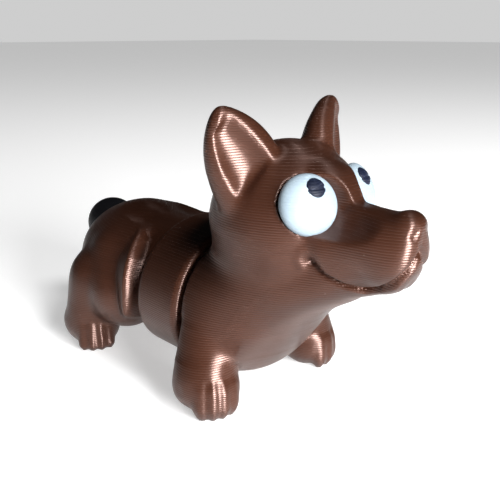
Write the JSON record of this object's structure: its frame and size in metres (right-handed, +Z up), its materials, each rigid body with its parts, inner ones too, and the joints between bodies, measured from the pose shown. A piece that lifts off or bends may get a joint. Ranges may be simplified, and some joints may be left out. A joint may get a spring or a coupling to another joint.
{
  "type": "twisting dog figure",
  "caption": "Small free-standing printed dog figure whose body twists at flat joints between its segments, with pricked ears, domed eyes and a ball tail.",
  "frame": {"origin": "middle of the figure's length and width, on the ground under the paws", "axes": "+X to the nose, +Y to the dog's left, +Z up"},
  "size_m": [0.0604, 0.0266, 0.0375],
  "materials": {
    "bronze_plastic": "silk bronze-brown printed plastic with fine horizontal layer lines",
    "white_plastic": "white printed plastic",
    "navy_plastic": "very dark blue printed plastic",
    "black_plastic": "black printed plastic"
  },
  "bodies": {
    "front": {"front_body": "bronze_plastic", "left_eye": "white_plastic", "right_eye": "white_plastic", "left_pupil": "navy_plastic", "right_pupil": "navy_plastic"},
    "middle": {"middle_body": "bronze_plastic", "front_swivel_pin": "bronze_plastic", "rear_swivel_pin": "bronze_plastic"},
    "rear": {"rear_body": "bronze_plastic", "tail": "black_plastic"}
  },
  "joints": [
    {"name": "front_twist", "type": "hinge", "parent": "front", "child": "middle", "pos_m": [0.0035, 0, 0.01165], "axis": [1, 0, 0], "continuous": true},
    {"name": "rear_twist", "type": "hinge", "parent": "middle", "child": "rear", "pos_m": [-0.0051, 0, 0.01165], "axis": [1, 0, 0], "continuous": true}
  ]
}
